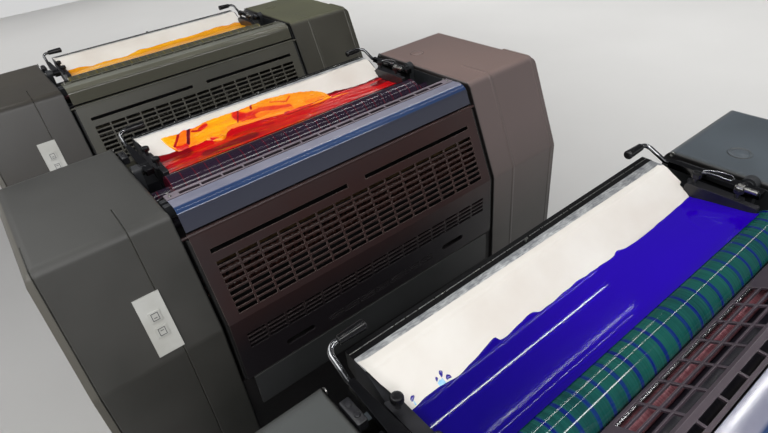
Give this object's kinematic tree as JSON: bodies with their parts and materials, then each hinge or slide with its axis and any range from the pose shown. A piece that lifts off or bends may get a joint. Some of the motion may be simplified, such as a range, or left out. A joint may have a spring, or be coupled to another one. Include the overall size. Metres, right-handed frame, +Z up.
{
  "type": "offset printing press",
  "caption": "Row of sheet-fed offset printing units with side housings, slotted guards, open ink ducts, ink rollers and duct levers on a low bed.",
  "frame": {"origin": "middle of the press on the floor, at the centre of its outline", "axes": "+Z up; +X across the press from the operator's side to the drive side; +Y along the press towards the delivery"},
  "size_m": [1.48, 2.6255, 1.5277],
  "materials": {
    "cover_enamel": "semi-gloss textured enamel, anthracite green",
    "kick_enamel": "semi-gloss enamel",
    "cap_enamel": "glossy blue-grey enamel",
    "top_enamel": "satin enamel, worn",
    "guard_enamel": "satin dark enamel",
    "dark_frame": "painted casting",
    "inner_black": "dull black",
    "duct_steel": "ground steel, worn bright at the rear edge",
    "end_plate": "black oxide, inky",
    "liner": "smooth cream liner sheet",
    "blue_duct_roller": "glossy, wet with blue ink in rings",
    "red_duct_roller": "glossy, wet with red ink",
    "yellow_duct_roller": "glossy, wet with yellow ink",
    "pink_rubber": "smooth ground rubber",
    "black_rubber": "smooth rubber with an ink film",
    "lever_steel": "blackened arm, bright rod",
    "panel_plastic": "off-white moulded plastic",
    "tread": "chequered tread, scuffed"
  },
  "bodies": {
    "root": {"bed": "dark_frame", "footboards": "tread", "unit_cores": "inner_black", "rear_panels": "cover_enamel", "kick_plates": "kick_enamel", "button_panels": "panel_plastic", "duct_liners": "liner", "duct_end_plates": "end_plate", "blue_operator_cover": "cover_enamel", "blue_drive_cover": "cover_enamel", "blue_side_frames": "dark_frame", "blue_front_cap": "cap_enamel", "blue_top_guard": "top_enamel", "blue_duct_bed": "duct_steel", "red_operator_cover": "cover_enamel", "red_drive_cover": "cover_enamel", "red_side_frames": "dark_frame", "red_front_cap": "cap_enamel", "red_top_guard": "top_enamel", "red_duct_bed": "duct_steel", "yellow_operator_cover": "cover_enamel", "yellow_drive_cover": "cover_enamel", "yellow_side_frames": "dark_frame", "yellow_front_cap": "cap_enamel", "yellow_top_guard": "top_enamel", "yellow_duct_bed": "duct_steel"},
    "blue_front_guard": {"blue_front_guard": "guard_enamel"},
    "blue_duct_roller": {"blue_duct_roller": "blue_duct_roller"},
    "blue_transfer_roller": {"blue_transfer_roller": "pink_rubber"},
    "blue_ink_roller": {"blue_ink_roller": "black_rubber"},
    "blue_operator_lever": {"blue_operator_lever": "lever_steel"},
    "blue_drive_lever": {"blue_drive_lever": "lever_steel"},
    "red_front_guard": {"red_front_guard": "guard_enamel"},
    "red_duct_roller": {"red_duct_roller": "red_duct_roller"},
    "red_transfer_roller": {"red_transfer_roller": "pink_rubber"},
    "red_ink_roller": {"red_ink_roller": "black_rubber"},
    "red_operator_lever": {"red_operator_lever": "lever_steel"},
    "red_drive_lever": {"red_drive_lever": "lever_steel"},
    "yellow_front_guard": {"yellow_front_guard": "guard_enamel"},
    "yellow_duct_roller": {"yellow_duct_roller": "yellow_duct_roller"},
    "yellow_transfer_roller": {"yellow_transfer_roller": "pink_rubber"},
    "yellow_ink_roller": {"yellow_ink_roller": "black_rubber"},
    "yellow_operator_lever": {"yellow_operator_lever": "lever_steel"},
    "yellow_drive_lever": {"yellow_drive_lever": "lever_steel"}
  },
  "joints": [
    {"name": "blue_guard_hinge", "type": "hinge", "parent": "root", "child": "blue_front_guard", "pos_m": [0, -1.21574, 1.43425], "axis": [-1, 0, 0], "range_deg": [0, 75]},
    {"name": "blue_duct_spin", "type": "hinge", "parent": "root", "child": "blue_duct_roller", "pos_m": [0, -1.01, 1.443], "axis": [1, 0, 0], "continuous": true},
    {"name": "blue_ink_spin", "type": "hinge", "parent": "root", "child": "blue_ink_roller", "pos_m": [0, -1.1, 1.40762], "axis": [1, 0, 0], "continuous": true},
    {"name": "blue_transfer_spin", "type": "hinge", "parent": "root", "child": "blue_transfer_roller", "pos_m": [0, -1.07, 1.436], "axis": [1, 0, 0], "continuous": true},
    {"name": "blue_operator_lever_swing", "type": "hinge", "parent": "root", "child": "blue_operator_lever", "pos_m": [-0.4155, -0.941, 1.493], "axis": [1, 0, 0], "range_deg": [0, 75]},
    {"name": "blue_drive_lever_swing", "type": "hinge", "parent": "root", "child": "blue_drive_lever", "pos_m": [0.4155, -0.941, 1.493], "axis": [1, 0, 0], "range_deg": [0, 75]},
    {"name": "red_guard_hinge", "type": "hinge", "parent": "root", "child": "red_front_guard", "pos_m": [0, -0.19174, 1.43425], "axis": [-1, 0, 0], "range_deg": [0, 75]},
    {"name": "red_duct_spin", "type": "hinge", "parent": "root", "child": "red_duct_roller", "pos_m": [0, 0.014, 1.443], "axis": [1, 0, 0], "continuous": true},
    {"name": "red_ink_spin", "type": "hinge", "parent": "root", "child": "red_ink_roller", "pos_m": [0, -0.076, 1.40762], "axis": [1, 0, 0], "continuous": true},
    {"name": "red_transfer_spin", "type": "hinge", "parent": "root", "child": "red_transfer_roller", "pos_m": [0, -0.046, 1.436], "axis": [1, 0, 0], "continuous": true},
    {"name": "red_operator_lever_swing", "type": "hinge", "parent": "root", "child": "red_operator_lever", "pos_m": [-0.4155, 0.083, 1.493], "axis": [1, 0, 0], "range_deg": [0, 75]},
    {"name": "red_drive_lever_swing", "type": "hinge", "parent": "root", "child": "red_drive_lever", "pos_m": [0.4155, 0.083, 1.493], "axis": [1, 0, 0], "range_deg": [0, 75]},
    {"name": "yellow_guard_hinge", "type": "hinge", "parent": "root", "child": "yellow_front_guard", "pos_m": [0, 0.83226, 1.43425], "axis": [-1, 0, 0], "range_deg": [0, 75]},
    {"name": "yellow_duct_spin", "type": "hinge", "parent": "root", "child": "yellow_duct_roller", "pos_m": [0, 1.038, 1.443], "axis": [1, 0, 0], "continuous": true},
    {"name": "yellow_ink_spin", "type": "hinge", "parent": "root", "child": "yellow_ink_roller", "pos_m": [0, 0.948, 1.40762], "axis": [1, 0, 0], "continuous": true},
    {"name": "yellow_transfer_spin", "type": "hinge", "parent": "root", "child": "yellow_transfer_roller", "pos_m": [0, 0.978, 1.436], "axis": [1, 0, 0], "continuous": true},
    {"name": "yellow_operator_lever_swing", "type": "hinge", "parent": "root", "child": "yellow_operator_lever", "pos_m": [-0.4155, 1.107, 1.493], "axis": [1, 0, 0], "range_deg": [0, 75]},
    {"name": "yellow_drive_lever_swing", "type": "hinge", "parent": "root", "child": "yellow_drive_lever", "pos_m": [0.4155, 1.107, 1.493], "axis": [1, 0, 0], "range_deg": [0, 75]}
  ],
  "couplings": [
    {"joint": "blue_transfer_spin", "follows": "blue_ink_spin", "ratio": -2.1538},
    {"joint": "red_transfer_spin", "follows": "red_ink_spin", "ratio": -2.1538},
    {"joint": "yellow_transfer_spin", "follows": "yellow_ink_spin", "ratio": -2.1538}
  ]
}
